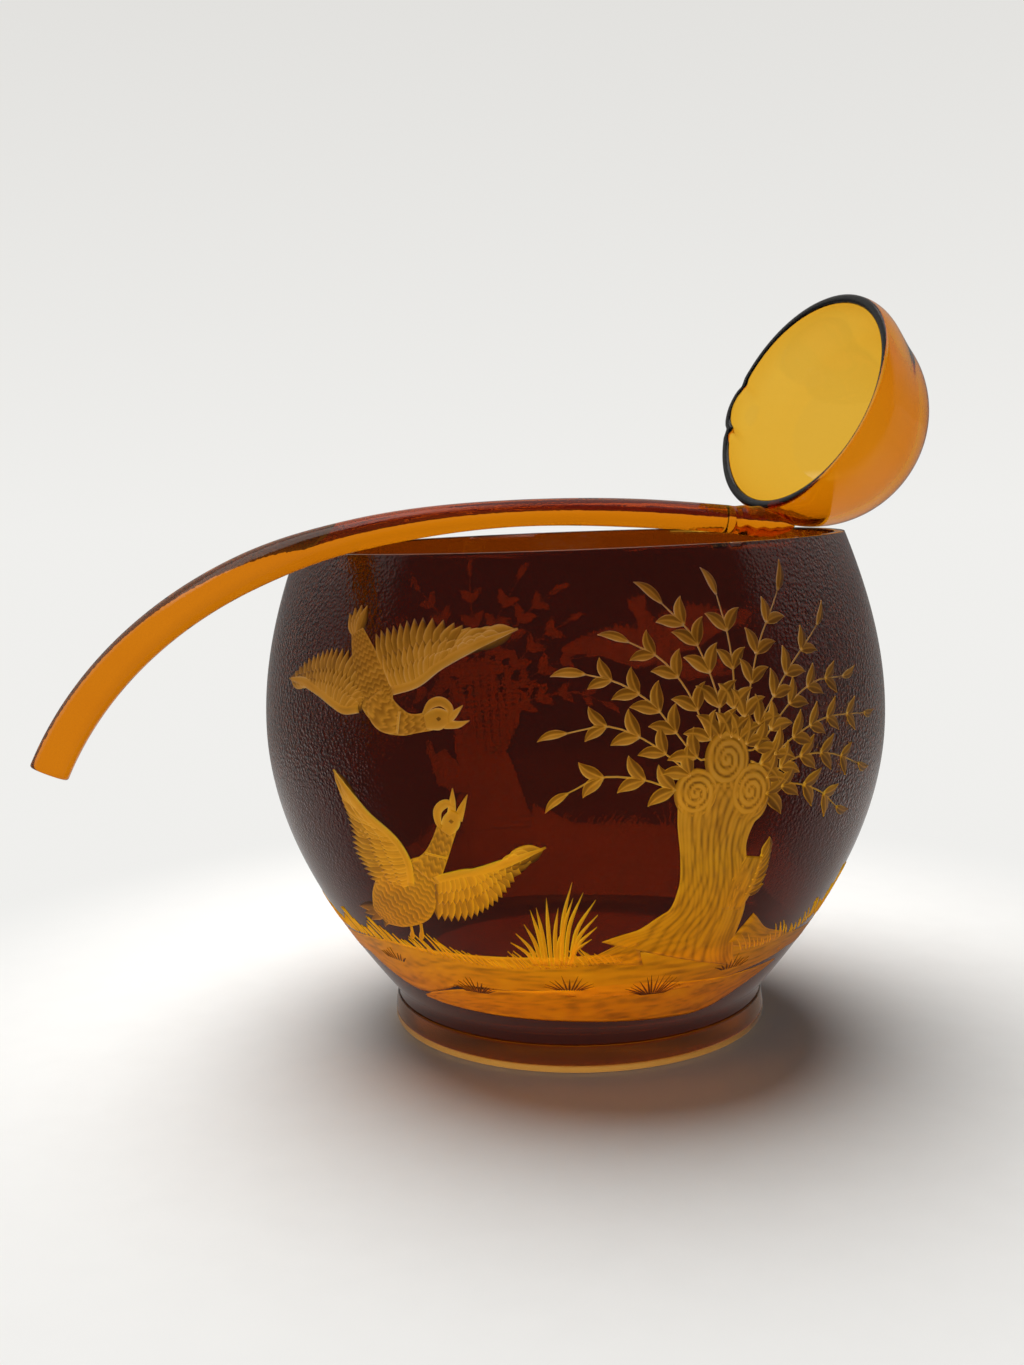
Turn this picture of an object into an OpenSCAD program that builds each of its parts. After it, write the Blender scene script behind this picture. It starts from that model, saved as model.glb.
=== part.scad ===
// Punch bowl of amber glass under a dark ruby layer, with an all-glass ladle
// lying across its rim. The origin is the centre of the foot's flat underside.
// +Z is up. The ladle crosses the rim from the front left to the back right.

/* [Bowl] */
// Widest outside diameter of the bowl
bowl_d = 250; // [200:1:310]
// Height of the rim above the table, at the middle
bowl_h = 195; // [150:1:240]
// Height of the widest place
belly_z = 125; // [90:1:140]
// Outside diameter at the rim
rim_d = 219.6; // [170:0.2:270]
// Outside diameter at the foot of the flank, above the cove
flank_d = 156.6; // [125:0.2:195]
// Height where the flank starts
flank_z = 17; // [13:0.5:30]
// How far the flank bends round, in degrees
flank_bend = 55; // [30:1:75]
// How far the shoulder bends round, in degrees
shoulder_bend = 62; // [30:1:80]
// Thickness of the amber glass in the wall
wall_t = 3.6; // [2.5:0.1:6]
// Thickness of the amber glass under the hollow
floor_t = 9; // [5:0.5:15]
// Slope of the ground rim, higher towards +X, in degrees
rim_slope = 0.8; // [0:0.1:2]

/* [Ruby layer] */
// Thickness of the dark outer layer
skin_t = 0.6; // [0.3:0.1:1.2]
// Gap that stands for the fused face between two gathers of glass
bond_gap = 0.05; // [0.02:0.01:0.1]

/* [Foot] */
// Diameter of the foot at the table
foot_d = 153.4; // [125:0.2:190]
// Diameter of the crease between the foot and the bowl
neck_d = 151.6; // [120:0.2:188]
// Height of the foot up to the crease
foot_h = 10; // [7:0.5:12]
// Height of the bare amber edge below the dark layer
edge_h = 3; // [1.5:0.5:5]

/* [Ladle cup] */
// Outside diameter of the round body of the cup
cup_d = 92.4; // [70:0.2:115]
// Outside diameter of the flared rim of the cup
cup_rim_d = 96.2; // [74:0.2:120]
// Distance of the rim from the middle of the round body
cup_rim_rise = 10; // [4:0.5:16]
// How far the round body hangs towards the handle from the rim's axis
cup_sag = 2.5; // [0:0.5:4]
// How far the cup's mouth leans from facing the handle to facing up, in degrees
cup_lean = 24.8; // [10:0.2:50]
// How far inside the round body the flare of the rim starts
flare_in = 8; // [8:0.5:12]
// Thickness of the cup's glass
cup_t = 3.6; // [2.5:0.1:5]
// How far the middle of the cup lies past the back contact
cup_past = 0.5; // [-4:0.5:6]
// Radius of the pouring lip, pushed out of the rim
lip_r = 9; // [6:0.5:12]
// How far the pouring lip stands out
lip_out = 2.5; // [1:0.5:4]

/* [Ladle handle] */
// Thickness of the rod at its thinnest
shaft_d = 10.2; // [8:0.2:14]
// Thickness of the rod at the grip
grip_d = 13; // [10:0.2:16]
// Thickness of the rod where it meets the collar
root_d = 11.4; // [9:0.2:15]
// Distance from the back contact to the end of the rod
root_back = 44; // [36:1:56]
// Height of the rod's end over the line between the contacts
root_h = 5.4; // [4:0.2:8]
// Slope of the rod at its root, falling to the cup, in degrees
root_slope = 6.3; // [2:0.1:10]
// Slope of the rod where it leaves the front of the rim, in degrees
front_slope = 9.5; // [5:0.5:15]
// Length of the grip outside the rim
grip_len = 137.5; // [90:0.5:180]
// How far the grip curls down along its length, in degrees
grip_curl = 55; // [20:1:70]

/* [Collar] */
// Length of the gather of glass that joins the rod to the cup
collar_len = 34; // [26:1:42]
// Thickness of the gather at its fattest
collar_d = 13; // [11.8:0.2:16]

/* [Resting] */
// Direction of the front contact from the middle of the bowl, in degrees
front_dir = 224; // [205:1:240]
// Direction of the back contact from the middle of the bowl, in degrees
back_dir = 16; // [0:1:30]
// Gap under the ladle at each contact
rest_gap = 0.3; // [0.2:0.1:0.6]

/* [Hidden] */
$fn = 72;
far = 1000;                    // larger than any part
grind = 6;                     // the bowl's blank runs this far past the rim
steps = 22;                    // points along the flank and the shoulder
cove_steps = 4;
bowl_r = bowl_d / 2;
rim_r = rim_d / 2;
flank_r = flank_d / 2;
neck_r = neck_d / 2;
foot_r = foot_d / 2;
glass_t = wall_t + skin_t;
rim_top = bowl_h + grind;
floor_z = foot_h + floor_t;
corner_r = 14;                 // round between the floor and the wall
corner_steps = 6;
edge_round = [0.6, 0.8];       // width and height of the round under the foot's edge
flare_root = 2;                // the cup's flare starts this far below its round middle
rod_sides = 16;
grip_rings = 24;
shaft_rings = 24;
even_curl = 0.6;               // share of the curl that is a plain arc

// Part of a round bend, 0 at t = 0 and 1 at t = 1
function bend(t, turn) = (1 - cos(turn * t)) / (1 - cos(turn));
// Outside radius of the bowl at height z
function side_r(z) =
    z > belly_z ? bowl_r - (bowl_r - rim_r) * bend((z - belly_z) / (bowl_h - belly_z), shoulder_bend) :
    z > flank_z ? bowl_r - (bowl_r - flank_r) * bend((belly_z - z) / (belly_z - flank_z), flank_bend) :
    neck_r + (flank_r - neck_r) * pow((z - foot_h) / (flank_z - foot_h), 2);
function side_slope(z) = (side_r(z + 0.1) - side_r(z - 0.1)) / 0.2;
// Point that lies depth inside the outer surface, square to it
function wall_pt(z, depth) = let (m = side_slope(z), n = sqrt(1 + m * m))
    [side_r(z) - depth / n, z + depth * m / n];
// Heights of the profile points, from low to high
function side_zs(low) = concat(
    [for (i = [0 : cove_steps - 1]) if (flank_z > low)
        low + (flank_z - low) * i / cove_steps],
    [for (i = [0 : steps]) let (z0 = max(low, flank_z)) z0 + (belly_z - z0) * i / steps],
    [for (i = [1 : steps / 2]) belly_z + (rim_top - belly_z) * i / (steps / 2)]);
function reversed(list) = [for (i = [len(list) - 1 : -1 : 0]) list[i]];
// Height on the outside where the floor's round corner runs into the wall
function corner_at(z, tries) = tries == 0 ? z :
    let (m = side_slope(z))
    corner_at(floor_z + corner_r - (glass_t + corner_r) * m / sqrt(1 + m * m), tries - 1);
corner_z = corner_at(floor_z + corner_r / 2, 12);
corner_mid = wall_pt(corner_z, glass_t + corner_r);
corner_lean = atan(side_slope(corner_z));

module above_rim() {
    translate([0, 0, bowl_h]) rotate([0, -rim_slope, 0])
        translate([-far / 2, -far / 2, 0]) cube(far);
}

// The amber vessel, ground off at the rim
module bowl_body() {
    outer = [for (z = side_zs(foot_h + bond_gap)) wall_pt(z, skin_t + bond_gap)];
    inner = [for (z = side_zs(corner_z)) wall_pt(z, glass_t)];
    corner = [for (i = [1 : corner_steps])
        let (a = corner_lean + (90 - corner_lean) * i / corner_steps)
        corner_mid + corner_r * [cos(a), -sin(a)]];
    color("goldenrod") difference() {
        rotate_extrude() polygon(concat(
            [[0, foot_h + bond_gap], [outer[0][0], foot_h + bond_gap]],
            [for (p = outer) if (p[1] > foot_h + 2 * bond_gap) p],
            reversed(inner), corner, [[0, floor_z]]));
        above_rim();
    }
}

// The dark outer layer of the wall, fused to the vessel
module wall_overlay() {
    zs = side_zs(foot_h + bond_gap);
    color("maroon") difference() {
        rotate_extrude() polygon(concat(
            [for (z = zs) wall_pt(z, 0)],
            reversed([for (z = zs) wall_pt(z, skin_t)])));
        above_rim();
    }
}

// Outside radius of the foot at height z, waisted towards the crease
function foot_side(z) = foot_r - (foot_r - neck_r) * bend(z / foot_h, 60);
foot_zs = [for (i = [0 : cove_steps]) edge_h + (foot_h - edge_h) * i / cove_steps];

// The solid foot of amber glass, flat underneath
module foot() {
    color("darkgoldenrod") rotate_extrude() polygon(concat(
        [[0, 0], [foot_r - edge_round[0], 0], [foot_r, edge_round[1]], [foot_side(edge_h), edge_h]],
        [for (z = foot_zs) [foot_side(z) - skin_t - bond_gap, z]],
        [[0, foot_h]]));
}

// The dark layer on the foot, down to the bare edge
module foot_overlay() {
    color("brown") rotate_extrude() polygon(concat(
        [for (z = foot_zs) [foot_side(z), z + (z == edge_h ? bond_gap : 0)]],
        reversed([for (z = foot_zs) [foot_side(z) - skin_t, z + (z == edge_h ? bond_gap : 0)]])));
}

// Where the ladle touches the rim, on the middle of the glass
contact_r = rim_r - glass_t / 2;
function contact(dir) = [contact_r * cos(dir), contact_r * sin(dir),
                         bowl_h + contact_r * cos(dir) * tan(rim_slope)];
front = contact(front_dir);
back = contact(back_dir);
across = back - front;
span = norm(across);
ladle_dir = atan2(across[1], across[0]);
ladle_rise = asin(across[2] / span);

// Places the ladle: X runs from the front contact to the back one, Z is up from the rim
module on_rim() {
    translate(front) rotate([0, 0, ladle_dir]) rotate([0, -ladle_rise, 0]) children();
}

cup_r = cup_d / 2;
cup_rim_r = cup_rim_d / 2;
cup_mid = [span + cup_past, 0, cup_r + rest_gap];
flare_h = cup_rim_rise + flare_root;
flare_r = cup_r - flare_in;

// Turns the cup's own axis, with its mouth at +Z, to its place over the rim
module cup_frame() {
    translate(cup_mid) rotate([0, cup_lean - 90, 0]) children();
}

// The cup's outer form, or its hollow when inset by the glass
module cup_form(inset) {
    sphere(cup_r - inset);
    translate([cup_sag, 0, cup_rim_rise - flare_h])
        cylinder(h = flare_h + inset, r1 = flare_r - inset, r2 = cup_rim_r - inset);
    translate([cup_sag, cup_rim_r + lip_out - lip_r, cup_rim_rise])
        sphere(lip_r - inset / 2);
}

// The blown cup with its flared rim and pouring lip
module ladle_cup() {
    color("gold") on_rim() cup_frame() difference() {
        cup_form(0);
        cup_form(cup_t);
        translate([-far / 2, -far / 2, cup_rim_rise]) cube(far);
    }
}

root = [span - root_back, root_h];
shaft_r = shaft_d / 2;
front_r = (shaft_r + grip_d / 2) / 2;
// Height of the rod's middle over the front contact
front_h = rest_gap + front_r / cos(front_slope) + glass_t / 2 * tan(front_slope);

// The gather of glass that joins the rod to the cup
module ladle_collar() {
    // Shares of the length, each with the radius there, from the rod to the cup
    sizes = [[0, root_d / 2], [0.2, root_d / 2 + 0.3], [0.4, collar_d / 2], [0.6, collar_d / 2 - 0.3],
             [0.75, collar_d / 2 - 1.2], [0.87, collar_d / 2 - 2.6], [0.95, collar_d / 2 - 4.2]];
    color("sienna") on_rim() difference() {
        translate([root[0] + bond_gap, 0, root[1]]) rotate([0, 90 + root_slope, 0])
            rotate_extrude() polygon(concat([[0, 0]],
                [for (p = sizes) [p[1], p[0] * collar_len]], [[0, collar_len]]));
        cup_frame() cup_form(-bond_gap);
    }
}

function smooth(t) = let (u = min(1, max(0, t))) u * u * (3 - 2 * u);
function lerp(a, b, t) = a + (b - a) * t;
// Middle of the rod between the contacts: t = 0 at the front one, 1 at the root
function shaft_pt(t) =
    let (t2 = t * t, t3 = t2 * t)
    [root[0] * t,
     (2 * t3 - 3 * t2 + 1) * front_h + (3 * t2 - 2 * t3) * root[1]
     + (t3 - 2 * t2 + t) * root[0] * tan(front_slope) - (t3 - t2) * root[0] * tan(root_slope)];
function shaft_size(t) = t < 0.4 ? lerp(front_r, shaft_r, smooth(t / 0.4))
                                 : lerp(shaft_r, root_d / 2, smooth((t - 0.4) / 0.4));
// Slope of the grip at a share f of its length
function grip_slope(f) = front_slope + grip_curl * (even_curl * f + (1 - even_curl) * f * f);
grip_step = grip_len / grip_rings;
function grip_pt(i) = i == 0 ? [0, front_h] :
    let (a = grip_slope((i - 0.5) / grip_rings)) grip_pt(i - 1) - grip_step * [cos(a), sin(a)];
function grip_size(f) = lerp(front_r, grip_d / 2, smooth(f / 0.3));

// Middle line and thickness of the whole rod, from the tip to the root
rod_pts = concat([for (i = [grip_rings : -1 : 1]) grip_pt(i)],
                 [for (i = [0 : shaft_rings]) shaft_pt(i / shaft_rings)]);
rod_sizes = concat([for (i = [grip_rings : -1 : 1]) grip_size(i / grip_rings)],
                   [for (i = [0 : shaft_rings]) shaft_size(i / shaft_rings)]);
last = len(rod_pts) - 1;
function rod_turn(i) = let (d = rod_pts[min(i + 1, last)] - rod_pts[max(i - 1, 0)]) atan2(d[1], d[0]);

// The bent rod of solid glass, cut flat at the tip
module ladle_handle() {
    points = [for (i = [0 : last], k = [0 : rod_sides - 1])
        let (a = 360 * (k + 0.5) / rod_sides, r = rod_sizes[i] / cos(180 / rod_sides),
             turn = i == last ? -root_slope : rod_turn(i))
        [rod_pts[i][0] - r * sin(a) * sin(turn), r * cos(a), rod_pts[i][1] + r * sin(a) * cos(turn)]];
    sides = [for (i = [0 : last - 1], k = [0 : rod_sides - 1])
        let (a = i * rod_sides + k, b = i * rod_sides + (k + 1) % rod_sides)
        [a, b, b + rod_sides, a + rod_sides]];
    tip = [for (k = [rod_sides - 1 : -1 : 0]) k];
    end = [for (k = [0 : rod_sides - 1]) last * rod_sides + k];
    color("orange") on_rim() polyhedron(points, concat(sides, [tip, end]));
}

bowl_body();
wall_overlay();
foot();
foot_overlay();
ladle_cup();
ladle_collar();
ladle_handle();
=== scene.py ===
import bpy
import bmesh
import math
import random
from mathutils import Matrix, Vector, noise


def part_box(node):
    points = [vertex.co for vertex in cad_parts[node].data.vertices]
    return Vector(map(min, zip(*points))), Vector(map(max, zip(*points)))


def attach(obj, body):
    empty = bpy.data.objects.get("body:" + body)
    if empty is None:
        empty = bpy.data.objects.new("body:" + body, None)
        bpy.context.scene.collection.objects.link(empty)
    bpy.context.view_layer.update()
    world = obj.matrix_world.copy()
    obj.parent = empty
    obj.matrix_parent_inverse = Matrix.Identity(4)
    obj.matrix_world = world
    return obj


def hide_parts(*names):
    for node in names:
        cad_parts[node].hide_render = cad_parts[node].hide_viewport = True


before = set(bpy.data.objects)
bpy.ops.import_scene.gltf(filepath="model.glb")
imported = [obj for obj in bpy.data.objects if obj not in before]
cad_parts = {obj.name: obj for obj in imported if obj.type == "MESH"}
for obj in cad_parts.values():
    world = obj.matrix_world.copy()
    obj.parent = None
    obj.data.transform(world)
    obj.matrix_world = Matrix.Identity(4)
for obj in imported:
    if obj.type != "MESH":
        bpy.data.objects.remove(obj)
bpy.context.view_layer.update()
scene = bpy.context.scene
mm = 0.001

view = {
    "place": (0, -594.65 * mm, 214.78 * mm),
    "pitch": 7.462,
    "yaw": -2.392,
    "roll": -1.447,
    "lens": 38.4525,
}
studio = {
    "backdropTop": (0.765, 0.757, 0.735, 1),
    "backdropLow": (0.87, 0.865, 0.845, 1),
    "paleRoom": (0.52, 0.51, 0.49, 1),
    "darkRoom": (0.075, 0.07, 0.072, 1),
    "ceiling": (1.5, 1.48, 1.45, 1),
    "fill": (0.035, 0.035, 0.035, 1),
    "dimFloor": (0.24, 0.23, 0.22, 1),
    "floorRadius": 6.0,
    "floorLevel": -0.3 * mm,
    "floorFade": (0.17, 0.36),
    "floorTones": ((0.80, 0.79, 0.765, 1), (0.84, 0.83, 0.805, 1)),
    # where the mirrored room, its ceiling and the mirrored floor turn from dark to pale
    "paleBehind": (-0.28, -0.02),
    "paleAbove": (0.0, 0.55),
    "ceilingEdge": (0.88, 0.95),
    "backdropRise": (-0.02, 0.3),
    "floorBehind": (-0.16, 0.02),
    "floorNear": (0.75, 0.35),
    "floorSeen": 0.22,
}
lamps = {
    "skyLamp": {"place": (-0.20, 0.42, 1.3), "aim": (-0.1, 0.2, 0), "size": 1.5, "power": 30},
    "frontLamp": {"place": (-0.4, -1.6, 0.1), "aim": (0, 0, 0.1), "size": 0.3, "power": 18,
                  "shadows": False},
}


def makeCamera():
    cam = bpy.data.cameras.new("camera")
    cam.lens = view["lens"]
    cam.sensor_width = 36
    cam.sensor_fit = "AUTO"
    cam.clip_start = 0.01
    obj = bpy.data.objects.new("camera", cam)
    pitch, yaw, roll = (math.radians(view[k]) for k in ("pitch", "yaw", "roll"))
    forward = Vector((math.cos(pitch) * math.sin(yaw), math.cos(pitch) * math.cos(yaw), -math.sin(pitch)))
    right = Vector((math.cos(yaw), -math.sin(yaw), 0))
    up = right.cross(forward)
    tiltedRight = math.cos(roll) * right + math.sin(roll) * up
    tiltedUp = math.cos(roll) * up - math.sin(roll) * right
    turn = Matrix((tiltedRight, tiltedUp, -forward)).transposed().to_4x4()
    obj.matrix_world = Matrix.Translation(view["place"]) @ turn
    scene.collection.objects.link(obj)
    scene.camera = obj


def makeLamp(name, place, aim, size, power, shadows=True):
    lamp = bpy.data.lights.new(name, "AREA")
    lamp.shape = "DISK"
    lamp.size = size
    lamp.energy = power
    lamp.use_shadow = shadows
    obj = bpy.data.objects.new(name, lamp)
    scene.collection.objects.link(obj)
    obj.location = place
    obj.rotation_euler = (Vector(aim) - Vector(place)).to_track_quat("-Z", "Y").to_euler()
    obj.visible_glossy = False
    obj.visible_transmission = False


class Nodes:
    # a short way to add and join shader nodes
    def __init__(self, tree):
        self.tree = tree
        tree.nodes.clear()

    def add(self, kind, inputs=None, **settings):
        node = self.tree.nodes.new("ShaderNode" + kind)
        for key, value in settings.items():
            setattr(node, key, value)
        for key, value in (inputs or {}).items():
            if isinstance(value, bpy.types.NodeSocket):
                self.tree.links.new(value, node.inputs[key])
            else:
                node.inputs[key].default_value = value
        return node

    def blend(self, share, low, high):
        return self.add("Mix", {"Factor": share, 6: low, 7: high}, data_type="RGBA").outputs[2]

    def ramp(self, value, low, high, base=0.0):
        # runs smoothly from base to 1 as the value goes from low to high
        limits = {"Value": value, "From Min": low, "From Max": high, "To Min": base}
        return self.add("MapRange", limits, interpolation_type="SMOOTHSTEP").outputs[0]

    def calc(self, operation, *values, **settings):
        return self.add("Math", dict(enumerate(values)), operation=operation, **settings).outputs[0]


def newMaterial(name):
    mat = bpy.data.materials.new(name)
    mat.use_nodes = True
    return mat, Nodes(mat.node_tree)


def makeWorld():
    world = bpy.data.worlds.new("studio")
    world.use_nodes = True
    scene.world = world
    n = Nodes(world.node_tree)
    where = n.add("TexCoord")
    axes = n.add("SeparateXYZ", {0: where.outputs["Generated"]})
    behind = n.ramp(axes.outputs["Y"], *studio["paleBehind"])
    high = n.ramp(axes.outputs["Z"], *studio["paleAbove"], 0.2)
    paleness = n.calc("MULTIPLY", behind, high)
    room = n.blend(paleness, studio["darkRoom"], studio["paleRoom"])
    overhead = n.ramp(axes.outputs["Z"], *studio["ceilingEdge"])
    mirrored = n.blend(overhead, room, studio["ceiling"])
    rays = n.add("LightPath")
    shine = n.blend(rays.outputs["Is Glossy Ray"], studio["fill"], mirrored)
    roomLight = n.add("Background", {"Color": shine, "Strength": 1.0})
    bottom, top = studio["backdropRise"]
    rise = n.add("MapRange", {"Value": axes.outputs["Z"], "From Min": bottom, "From Max": top})
    wall = n.blend(rise.outputs[0], studio["backdropLow"], studio["backdropTop"])
    pale = n.add("Background", {"Color": wall, "Strength": 1.0})
    direct = n.calc("MAXIMUM", rays.outputs["Is Camera Ray"], rays.outputs["Is Transmission Ray"])
    both = n.add("MixShader", {0: direct, 1: roomLight.outputs[0], 2: pale.outputs[0]})
    n.add("OutputWorld", {"Surface": both.outputs[0]})


def makeFloor():
    bm = bmesh.new()
    bmesh.ops.create_circle(bm, cap_ends=True, segments=96, radius=studio["floorRadius"])
    # just clear of the foot's flat face
    bmesh.ops.translate(bm, verts=bm.verts[:], vec=(0, 0, studio["floorLevel"]))
    mesh = bpy.data.meshes.new("floor")
    bm.to_mesh(mesh)
    bm.free()
    floor = bpy.data.objects.new("floor", mesh)
    scene.collection.objects.link(floor)
    mat, n = newMaterial("paleFloor")
    where = n.add("TexCoord")
    far = n.add("VectorMath", {0: where.outputs["Object"]}, operation="LENGTH")
    fade = n.ramp(far.outputs["Value"], *studio["floorFade"])
    rays = n.add("LightPath")
    faded = n.calc("MULTIPLY", rays.outputs["Is Camera Ray"], fade)
    share = n.calc("MAXIMUM", faded, rays.outputs["Is Transmission Ray"])
    weave = n.add("TexNoise", {"Vector": where.outputs["Object"], "Scale": 60.0, "Detail": 4.0})
    tone = n.blend(weave.outputs["Fac"], *studio["floorTones"])
    lit = n.add("BsdfDiffuse", {"Color": tone})
    flat = n.add("Emission", {"Color": studio["backdropLow"], "Strength": 1.0})
    shown = n.add("MixShader", {0: share, 1: lit.outputs[0], 2: flat.outputs[0]})
    # mirrored in the glass only the floor close by is pale, and not in front
    axes = n.add("SeparateXYZ", {0: where.outputs["Object"]})
    back = n.ramp(axes.outputs["Y"], *studio["floorBehind"])
    close = n.ramp(far.outputs["Value"], *studio["floorNear"])
    dim = n.blend(back, studio["darkRoom"], studio["dimFloor"])
    mirrored = n.add("Emission", {"Color": dim, "Strength": 1.0})
    nearBack = n.calc("MULTIPLY", back, close)
    distant = n.calc("MULTIPLY_ADD", nearBack, -studio["floorSeen"], 1.0)
    mirrorRay = n.calc("SUBTRACT", rays.outputs["Is Glossy Ray"], rays.outputs["Is Transmission Ray"],
                       use_clamp=True)
    dimmed = n.calc("MULTIPLY", distant, mirrorRay)
    whole = n.add("MixShader", {0: dimmed, 1: shown.outputs[0], 2: mirrored.outputs[0]})
    n.add("OutputMaterial", {"Surface": whole.outputs[0]})
    mesh.materials.append(mat)


makeCamera()
makeWorld()
makeFloor()
for lampName, settings in lamps.items():
    makeLamp(lampName, **settings)
scene.view_settings.view_transform = "Standard"
scene.cycles.max_bounces = 32
scene.cycles.transmission_bounces = 28
scene.cycles.transparent_max_bounces = 16
scene.cycles.diffuse_bounces = 3
scene.cycles.glossy_bounces = 5
scene.cycles.caustics_reflective = False
scene.cycles.blur_glossy = 0.5
scene.cycles.sample_clamp_indirect = 4
print("camera, floor and lamps are in place")

bowl = {
    "bellyRadius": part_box("wall_overlay")[1].x,
    "bellyHeight": 125 * mm,
    "rimRadius": 109.8 * mm,
    "rimHeight": 195 * mm,
    "rimSlope": 0.8,
    "shoulderTurn": 62,
    "flankRadius": 78.3 * mm,
    "flankHeight": 17 * mm,
    "flankTurn": 55,
    "neckRadius": 75.8 * mm,
    "creaseHeight": 10 * mm,
    "floorHeight": 19 * mm,
    "floorCorner": 14 * mm,
    "amber": 3.6 * mm,
    "ruby": 0.6 * mm,
    "rubyInset": 0.35 * mm,
    "gap": 0.05 * mm,
    "sides": 192,
}


def bend(t, turn):
    return (1 - math.cos(math.radians(turn) * t)) / (1 - math.cos(math.radians(turn)))


def sideRadius(z):
    belly, rim, low = bowl["bellyHeight"], bowl["rimHeight"], bowl["flankHeight"]
    if z > belly:
        return bowl["bellyRadius"] - (bowl["bellyRadius"] - bowl["rimRadius"]) * bend(
            (z - belly) / (rim - belly), bowl["shoulderTurn"])
    if z > low:
        return bowl["bellyRadius"] - (bowl["bellyRadius"] - bowl["flankRadius"]) * bend(
            (belly - z) / (belly - low), bowl["flankTurn"])
    share = (z - bowl["creaseHeight"]) / (low - bowl["creaseHeight"])
    return bowl["neckRadius"] + (bowl["flankRadius"] - bowl["neckRadius"]) * share * abs(share)


def sideSlope(z):
    step = 0.3 * mm
    return (sideRadius(z + step) - sideRadius(z - step)) / (2 * step)


def wallPoint(z, depth):
    # a point of the profile, depth inside the outer surface and square to it
    slope = sideSlope(z)
    scale = math.hypot(1, slope)
    return Vector((sideRadius(z) - depth / scale, 0, z + depth * slope / scale))


def heights(low, high, count):
    return [low + (high - low) * i / count for i in range(count + 1)]


def newMesh(name, bm, materials):
    mesh = bpy.data.meshes.new(name)
    bm.to_mesh(mesh)
    bm.free()
    for face in mesh.polygons:
        face.use_smooth = True
    obj = bpy.data.objects.new(name, mesh)
    scene.collection.objects.link(obj)
    for mat in materials:
        mesh.materials.append(mat)
    return obj


def spun(profile, sides, closed):
    # a profile in the XZ plane turned once round the Z axis
    bm = bmesh.new()
    verts = [bm.verts.new(p) for p in profile]
    for a, b in zip(verts, verts[1:]):
        bm.edges.new((a, b))
    if closed:
        bm.edges.new((verts[-1], verts[0]))
    bmesh.ops.spin(bm, geom=bm.verts[:] + bm.edges[:], cent=(0, 0, 0), axis=(0, 0, 1),
                   angle=math.tau, steps=sides, use_merge=True)
    bmesh.ops.remove_doubles(bm, verts=bm.verts[:], dist=0.002 * mm)
    bmesh.ops.recalc_face_normals(bm, faces=bm.faces[:])
    return bm


def grindRim(bm, roundness):
    # cuts the blank off along the sloping rim, closes the cut and takes the edges off
    slope = math.radians(bowl["rimSlope"])
    cut = bmesh.ops.bisect_plane(bm, geom=bm.verts[:] + bm.edges[:] + bm.faces[:], dist=1e-6,
                                 plane_co=(0, 0, bowl["rimHeight"]),
                                 plane_no=(-math.sin(slope), 0, math.cos(slope)), clear_outer=True)
    rim = [e for e in cut["geom_cut"] if isinstance(e, bmesh.types.BMEdge)]
    bmesh.ops.bridge_loops(bm, edges=rim)
    bmesh.ops.recalc_face_normals(bm, faces=bm.faces[:])
    bmesh.ops.bevel(bm, geom=rim, affect="EDGES", offset=roundness, segments=3, profile=0.5, material=-1)


def glassMaterial(name, tint, streak, grain=0.0, grainSize=1.0, rough=0.0, sideGrain=False, depth=None):
    # clear coloured glass: streak is the second tint of its faint cords, grain the pebbling of its skin
    mat, n = newMaterial(name)
    where = n.add("TexCoord")
    squeeze = n.add("Mapping", {"Vector": where.outputs["Object"], "Scale": (14, 14, 60)})
    cords = n.add("TexNoise", {"Vector": squeeze.outputs[0], "Scale": 1.0, "Detail": 3.0})
    colour = n.blend(cords.outputs["Fac"], tint, streak)
    pebbles = n.add("TexVoronoi", {"Vector": where.outputs["Object"], "Scale": 1 / (grainSize * mm)},
                    feature="SMOOTH_F1")
    patches = n.add("TexNoise", {"Vector": where.outputs["Object"], "Scale": 25.0, "Detail": 1.0})
    amount = n.calc("MULTIPLY", pebbles.outputs["Distance"], patches.outputs["Fac"])
    if sideGrain:  # the pebbling is strong on the left and right cheeks and fades out between them
        axes = n.add("SeparateXYZ", {0: where.outputs["Object"]})
        cheek = n.ramp(n.calc("ABSOLUTE", axes.outputs["X"]), 0.05, 0.088, 0.03)
        tall = n.ramp(axes.outputs["Z"], 0.05, 0.13)
        amount = n.calc("MULTIPLY", amount, n.calc("MULTIPLY", cheek, tall))
    skin = n.add("Bump", {"Height": amount, "Strength": 1.0, "Distance": grain * mm})
    shader = n.add("BsdfPrincipled", {"Base Color": colour, "Transmission Weight": 1.0,
                                      "Roughness": rough, "IOR": 1.5, "Normal": skin.outputs[0]})
    out = n.add("OutputMaterial", {"Surface": shader.outputs[0]})
    if depth:  # thicker glass is deeper in colour
        body = n.add("VolumeAbsorption", {"Color": depth[0], "Density": depth[1]})
        n.tree.links.new(body.outputs[0], out.inputs["Volume"])
    return mat


amberDepth = ((0.934, 0.76, 0.0, 1), 420.0)
amberGlass = glassMaterial("amberGlass", (0.80, 0.44, 0.04, 1), (0.84, 0.49, 0.05, 1))
footGlass = glassMaterial("footGlass", (0.74, 0.34, 0.02, 1), (0.80, 0.41, 0.03, 1))
ladleGlass = glassMaterial("ladleGlass", (0.95, 0.72, 0.25, 1), (0.93, 0.69, 0.20, 1),
                           grain=0.02, grainSize=1.8, depth=amberDepth)
rodGlass = glassMaterial("rodGlass", (0.74, 0.235, 0.004, 1), (0.68, 0.19, 0.003, 1),
                         grain=0.10, grainSize=1.8)
rubyGlass = glassMaterial("rubyGlass", (0.175, 0.050, 0.018, 1), (0.205, 0.060, 0.02, 1),
                          grain=1.0, grainSize=1.15, sideGrain=True)


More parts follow.
